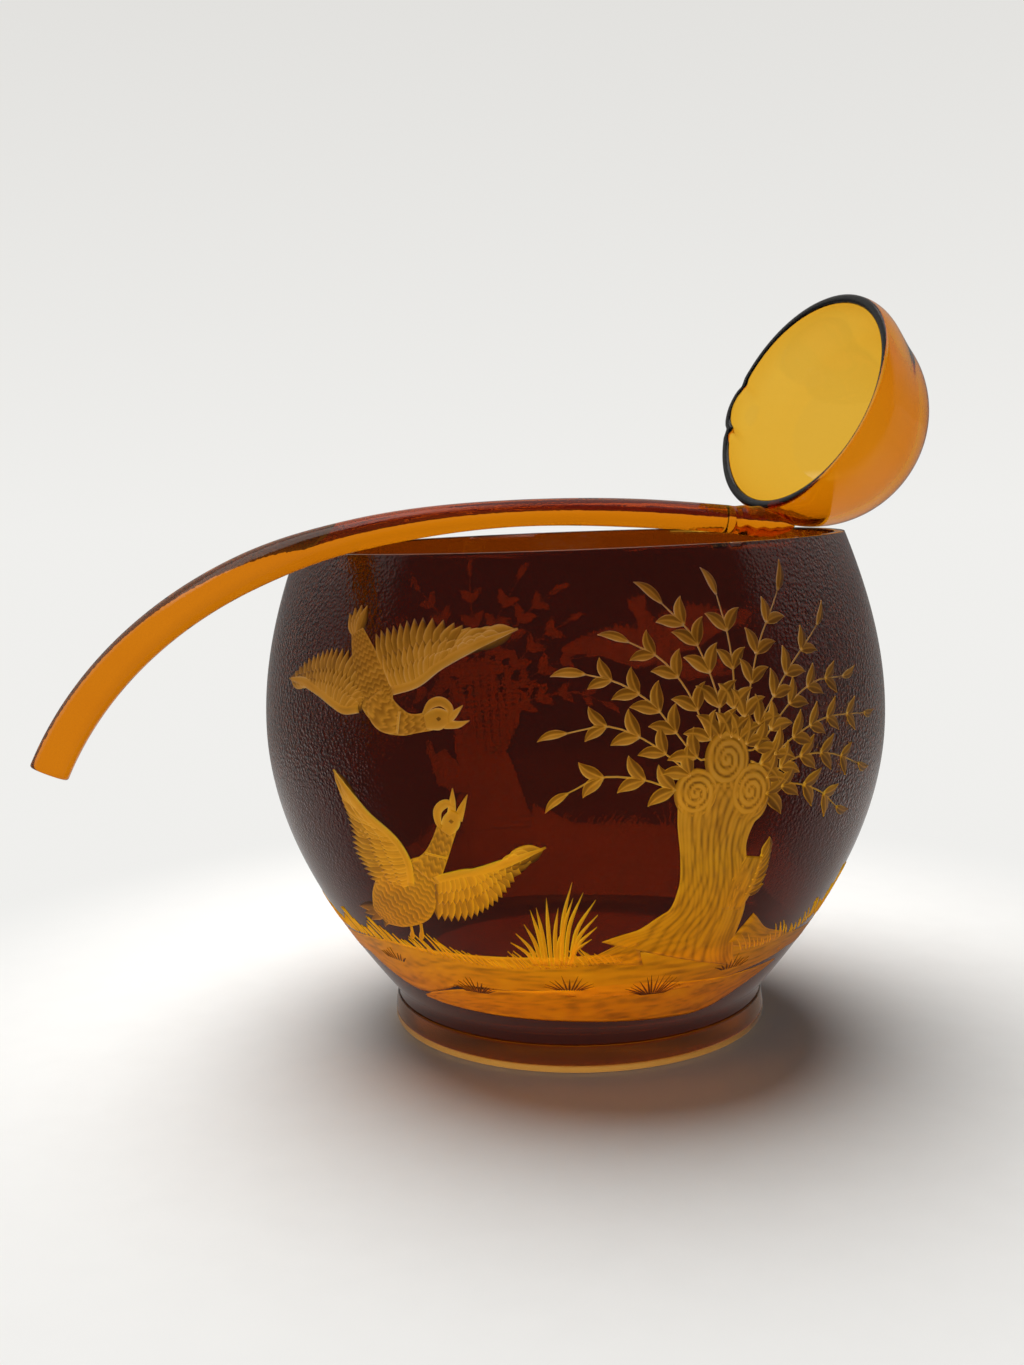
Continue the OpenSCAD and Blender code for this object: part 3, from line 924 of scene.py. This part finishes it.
def blade(bm, angle, height, lean, length, width, tone, bow=0.2):
    # a grass blade; lean in degrees from straight up, positive to the right
    a = math.radians(lean)
    points = []
    for share in (0.0, 0.3, 0.65, 1.0):
        side = bow * length * share * share
        du = (math.sin(a) * share) * length + math.cos(a) * side
        dv = (math.cos(a) * share) * length - math.sin(a) * side
        points.append(shiftMm((angle, height), du, dv))
    cut(bm, points, (width, width * 0.95, width * 0.6, 0.05), tone=tone, along=7, across=bladeSteps,
        crown=0.6, base=0.08)


reeds = {  # the tallest tuft, blade by blade: where each one ends
    "root": (-5.4, 49.5),
    "tips": [(-0.7, 84), (-0.6, 78), (1.1, 80), (3.2, 77), (3.6, 71), (3.5, 66), (2.6, 61), (-3.2, 74),
             (-5.1, 78), (-7, 74), (-8.1, 73), (-9.5, 67), (-11.3, 63), (-12.6, 59), (-2.4, 66)],
}
tufts = {
    "tall": [  # angle, height of the root, blades, longest blade, spread
        (70, 48, 9, 26, 30), (118, 47, 13, 30, 45), (-112, 47, 14, 32, 50),
        (152, 48, 9, 24, 40), (-146, 48, 11, 26, 45), (-80, 46, 8, 20, 30),
    ],
    "dark": [(-24, 34, 13, 10, 60), (17, 34, 15, 13, 60), (-2, 38, 11, 9, 60), (36, 40, 9, 8, 50),
             (-45, 42, 8, 7, 40), (130, 36, 12, 10, 60), (168, 35, 13, 11, 60), (-150, 36, 12, 10, 60),
             (-120, 36, 10, 9, 55)],
}


def makeGrass():
    chance = random.Random(5)
    bm = bmesh.new()
    rootAngle, rootHeight = reeds["root"]
    for angle, height in reeds["tips"]:
        stem = rootAngle + 0.45 * (angle - rootAngle)
        middle = (stem + 0.3 * (angle - stem), rootHeight + 0.55 * (height - rootHeight))
        cut(bm, [(stem, rootHeight), middle, (angle, height)], (1.3, 1.5, 1.2, 0.05),
            tone=chance.uniform(0.6, 0.85), along=12, across=bladeSteps, crown=0.7, base=0.1)
    for angle, height, count, longest, spread in tufts["tall"]:
        for k in range(count):
            s = 2 * k / (count - 1) - 1
            lean = s * spread + chance.uniform(-4, 4)
            length = longest * (1 - 0.55 * abs(s) ** 1.3) * chance.uniform(0.8, 1.05)
            blade(bm, angle + s * 3.0, height + chance.uniform(0, 2), lean, length,
                  chance.uniform(1.0, 1.5), chance.uniform(0.55, 0.8), bow=0.16 * s)
    # the short fringe along the top of the bank
    count = 320
    for k in range(count):
        angle = -178 + 356 * k / count + chance.uniform(-0.4, 0.4)
        if 9 < angle < 36:
            continue
        height = 50.5 + 1.5 * math.sin(angle * 0.11) + (1 if abs(angle) > 60 else 0)
        clump = 0.5 + 0.5 * math.sin(angle * 0.42 + 1.3 * math.sin(angle * 0.13))
        length = 5 + 9 * clump * chance.uniform(0.5, 1.0)
        blade(bm, angle, height - 1.5, -24 + chance.uniform(-8, 8), length, 1.0,
              chance.uniform(0.55, 0.85), bow=-0.14)
    finishCut("grass", bm)
    bm = bmesh.new()
    for angle, height, count, longest, spread in tufts["dark"]:
        for k in range(count):
            s = 2 * k / (count - 1) - 1
            lean = s * spread + chance.uniform(-5, 5)
            length = longest * (1 - 0.4 * abs(s)) * chance.uniform(0.7, 1.05)
            blade(bm, angle + s * 2.6, height, lean, length, 0.9, chance.uniform(-0.75, -0.3), bow=0.1 * s)
    finishCut("grassShade", bm)


makeGround()
makeGrass()
print("ground and grass are cut")

backWillow = {
    "trunk": [(-156, 50), (-157, 58), (-158, 68), (-158, 78), (-157, 88), (-158, 98), (-159, 106),
              (-159, 111)],
    "trunkWidths": [66, 44, 33, 28, 27, 31, 36, 24],
    "roots": [[(-168, 55), (-174, 53), (-180, 51)], [(-146, 58), (-139, 52), (-128, 49)]],
    "stub": [(-149, 70), (-148, 80), (-146, 90)],
    "knots": [(-164, 108, 16, 17), (-154, 107, 17, 20), (-159, 119, 17, 20)],
    "twigs": [
        [(-168, 110), (-174, 114), (-181, 115), (-187, 110)],
        [(-165, 114), (-170, 123), (-176, 130), (-183, 133)],
        [(-164, 121), (-168, 133), (-173, 143), (-179, 151)],
        [(-161, 127), (-165, 142), (-169, 155), (-175, 165)],
        [(-160, 127), (-161, 142), (-163, 157), (-167, 172)],
        [(-158, 127), (-157, 143), (-156, 159), (-155, 175)],
        [(-156, 126), (-152, 142), (-148, 157), (-142, 170)],
        [(-155, 123), (-149, 135), (-142, 147), (-134, 156)],
        [(-153, 119), (-145, 128), (-137, 134), (-127, 136)],
        [(-152, 113), (-145, 119), (-137, 120), (-127, 114)],
        [(-151, 107), (-145, 110), (-138, 106), (-131, 98)],
    ],
    "leafLength": 11,
}


def turned(duck, angle, height):
    # the same duck elsewhere on the bowl, mirrored so that it flies the other way
    def move(value):
        if isinstance(value, tuple) and len(value) == 2:
            return -value[0] + angle, value[1] + height
        if isinstance(value, list):
            return [move(v) for v in value]
        if isinstance(value, dict):
            return {k: move(v) for k, v in value.items()}
        return value
    return move(duck)


makeWillow("backWillow", backWillow, 47)
makeDuck("backDuck", turned(divingDuck, 125, -12), 0.55)
makeDuck("sideDuck", turned(risingDuck, -128, 30), 0.5)
print("back of the bowl is cut")

ladle = {
    "frontTouch": 224,
    "backTouch": 16,
    "cupRadius": 46.2 * mm,
    "cupRimRadius": 48.1 * mm,
    "rimRise": 10 * mm,
    "sag": 2.5 * mm,
    "lean": 24.8,
    "cupGlass": 3.6 * mm,
    "cupPast": 0.5 * mm,
    "restGap": 0.3 * mm,
    "lipOut": 2.3 * mm,
    "lipHalf": 11,
    "shaft": 5.1 * mm,
    "grip": 6.5 * mm,
    "root": 5.7 * mm,
    "rootBack": 44 * mm,
    "rootHeight": 5.4 * mm,
    "rootSlope": 6.3,
    "frontSlope": 9.5,
    "gripLength": 137.5 * mm,
    "gripCurl": 55,
    "evenCurl": 0.6,
    "collarLength": 34 * mm,
}


def touchPoint(direction):
    r = bowl["rimRadius"] - (bowl["amber"] + bowl["ruby"]) / 2
    a = math.radians(direction)
    return Vector((r * math.cos(a), r * math.sin(a),
                   bowl["rimHeight"] + r * math.cos(a) * math.tan(math.radians(bowl["rimSlope"]))))


frontTouch = touchPoint(ladle["frontTouch"])
backTouch = touchPoint(ladle["backTouch"])
spanVector = backTouch - frontTouch
spanLength = spanVector.length
ladleTurn = Matrix.Rotation(math.atan2(spanVector.y, spanVector.x), 4, "Z")
ladleRise = Matrix.Rotation(-math.asin(spanVector.z / spanLength), 4, "Y")
onRim = Matrix.Translation(frontTouch) @ ladleTurn @ ladleRise


def smooth(t):
    t = min(max(t, 0.0), 1.0)
    return t * t * (3 - 2 * t)


def lerp(a, b, t):
    return a + (b - a) * t


def sweep(bm, rings, sides):
    # rings are (middle, direction, radius): a disc is drawn out from each to the next
    def place(ring):
        middle, direction, radius = ring
        turn = direction.to_track_quat("Z", "Y").to_matrix().to_4x4()
        return Matrix.Translation(middle) @ turn @ Matrix.Scale(radius, 4)
    start = bmesh.ops.create_circle(bm, cap_ends=True, segments=sides, radius=1, matrix=place(rings[0]))
    face = start["verts"][0].link_faces[0]
    before = place(rings[0])
    for ring in rings[1:]:
        here = place(ring)
        grown = bmesh.ops.extrude_face_region(bm, geom=[face], use_keep_orig=False)
        verts = [g for g in grown["geom"] if isinstance(g, bmesh.types.BMVert)]
        newFace = [g for g in grown["geom"] if isinstance(g, bmesh.types.BMFace)][0]
        if face.is_valid and ring is not rings[1]:
            bmesh.ops.delete(bm, geom=[face], context="FACES_ONLY")
        bmesh.ops.transform(bm, matrix=here @ before.inverted(), verts=verts)
        face, before = newFace, here
    bmesh.ops.recalc_face_normals(bm, faces=bm.faces[:])


def handleLine():
    root = Vector((spanLength - ladle["rootBack"], 0, ladle["rootHeight"]))
    frontRadius = (ladle["shaft"] + ladle["grip"]) / 2
    slope = math.radians(ladle["frontSlope"])
    half = (bowl["amber"] + bowl["ruby"]) / 2
    frontHeight = ladle["restGap"] + frontRadius / math.cos(slope) + half * math.tan(slope)
    steps, points, sizes = 60, [], []
    place = Vector((0, 0, frontHeight))
    grip = []
    for i in range(steps):
        f = (i + 0.5) / steps
        turn = slope + math.radians(ladle["gripCurl"]) * (
            ladle["evenCurl"] * f + (1 - ladle["evenCurl"]) * f * f)
        place = place - ladle["gripLength"] / steps * Vector((math.cos(turn), 0, math.sin(turn)))
        grip.append((place, lerp(frontRadius, ladle["grip"], smooth((i + 1) / steps / 0.3))))
    for place, size in reversed(grip):
        points.append(place)
        sizes.append(size)
    for i in range(steps + 1):
        t = i / steps
        height = ((2 * t ** 3 - 3 * t * t + 1) * frontHeight + (3 * t * t - 2 * t ** 3) * root.z
                  + (t ** 3 - 2 * t * t + t) * root.x * math.tan(slope)
                  - (t ** 3 - t * t) * root.x * math.tan(math.radians(ladle["rootSlope"])))
        points.append(Vector((root.x * t, 0, height)))
        sizes.append(lerp(frontRadius, ladle["shaft"], smooth(t / 0.4)) if t < 0.4
                     else lerp(ladle["shaft"], ladle["root"], smooth((t - 0.4) / 0.4)))
    return points, sizes


def makeHandle():
    points, sizes = handleLine()
    last = len(points) - 1
    rings = []
    for i, (point, size) in enumerate(zip(points, sizes)):
        direction = (points[min(i + 1, last)] - points[max(i - 1, 0)]).normalized()
        rings.append((point, direction, size))
    bm = bmesh.new()
    sweep(bm, rings, 32)
    ends = [f for f in bm.faces if len(f.verts) > 8]
    edges = list({e for f in ends for e in f.edges})
    bmesh.ops.bevel(bm, geom=edges, affect="EDGES", offset=0.9 * mm, segments=4, profile=0.5, material=-1)
    bmesh.ops.transform(bm, matrix=onRim, verts=bm.verts[:])
    rod = newMesh("handleRod", bm, [rodGlass])
    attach(rod, "ladle")
    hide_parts("ladle_handle")
    rod.visible_shadow = False  # light goes on through the ladle's clear glass


cupCentre = Vector((spanLength + ladle["cupPast"], 0, ladle["cupRadius"] + ladle["restGap"]))
cupPlace = onRim @ Matrix.Translation(cupCentre)
cupPlace = cupPlace @ Matrix.Rotation(math.radians(ladle["lean"] - 90), 4, "Y")


def cupArc(radius):
    # from the bottom of the cup up to its rim
    rimAngle = math.degrees(math.asin(ladle["rimRise"] / radius))
    turns = [math.radians(lerp(-90, rimAngle, i / 60)) for i in range(61)]
    return [Vector((radius * math.cos(a), 0, radius * math.sin(a))) for a in turns]


def makeCup():
    outside = cupArc(ladle["cupRadius"])
    inside = cupArc(ladle["cupRadius"] - ladle["cupGlass"])
    lip = []
    for i in range(1, 8):  # the fire-polished rim
        a = math.pi * i / 8
        middle = (outside[-1] + inside[-1]) / 2
        half = (outside[-1].x - inside[-1].x) / 2
        lip.append(middle + Vector((half * math.cos(a), 0, half * 0.75 * math.sin(a))))
    profile = outside + lip + inside[::-1]
    drop = half * 0.75
    bm = spun(profile, 144, closed=False)
    flare = ladle["cupRimRadius"] / outside[-1].x
    for v in bm.verts:
        x, y, z = v.co
        near = smooth((z + 14 * mm) / (24 * mm))
        aroundCup = math.degrees(math.atan2(y, x))
        spout = math.exp(-(((aroundCup - 90) / ladle["lipHalf"]) ** 2)) * smooth((z + 4 * mm) / (13 * mm))
        # two creases where the lip was pinched
        pinch = sum(math.exp(-(((aroundCup - 90 - side * 13) / 2.6) ** 2)) for side in (-1, 1))
        pinch *= smooth((z + 1 * mm) / (10 * mm))
        r = math.hypot(x, y)
        scale = 1 + (flare - 1) * near + (ladle["lipOut"] * spout - 1.5 * mm * pinch) / max(r, 10 * mm)
        lower = drop * smooth((z + 6 * mm) / (16 * mm))
        v.co = Vector((x * scale + ladle["sag"] * near, y * scale, z - lower))
    bmesh.ops.transform(bm, matrix=cupPlace, verts=bm.verts[:])
    cup = newMesh("cupShell", bm, [ladleGlass])
    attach(cup, "ladle")
    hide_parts("ladle_cup")
    cup.visible_shadow = False


def makeCollar():
    # the gather that joins the rod to the cup: it swells, then spreads over the cup's skin
    sizes = [(0.0, 5.75), (0.08, 5.9), (0.2, 6.2), (0.4, 6.5),
             (0.6, 6.1), (0.75, 5.0), (0.87, 3.6), (0.95, 2.0)]
    slope = math.radians(ladle["rootSlope"])
    start = Vector((spanLength - ladle["rootBack"] + bowl["gap"], 0, ladle["rootHeight"]))
    along = Vector((math.cos(slope), 0, -math.sin(slope)))
    rings = []
    steps = 40
    for i in range(steps + 1):
        t = i / steps * 0.95
        radius = sizes[0][1]
        for (t0, r0), (t1, r1) in zip(sizes, sizes[1:]):
            if t0 <= t <= t1:
                radius = lerp(r0, r1, smooth((t - t0) / (t1 - t0)) * 0.5 + 0.5 * (t - t0) / (t1 - t0))
        wobble = 1 - 0.05 * (0.5 + 0.5 * math.sin(t * 26))
        rings.append((start + along * ladle["collarLength"] * t, along, radius * mm * wobble))
    bm = bmesh.new()
    sweep(bm, rings, 40)
    reach = ladle["cupRadius"] + 0.06 * mm
    for v in bm.verts:  # the far side of the gather follows the cup's round skin
        away = v.co - cupCentre
        if away.length < reach:
            v.co = cupCentre + away.normalized() * reach
    bmesh.ops.transform(bm, matrix=onRim, verts=bm.verts[:])
    collar = newMesh("collarGather", bm, [rodGlass])
    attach(collar, "ladle")
    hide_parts("ladle_collar")
    collar.visible_shadow = False


makeHandle()
makeCup()
makeCollar()
print("ladle lies on the rim")
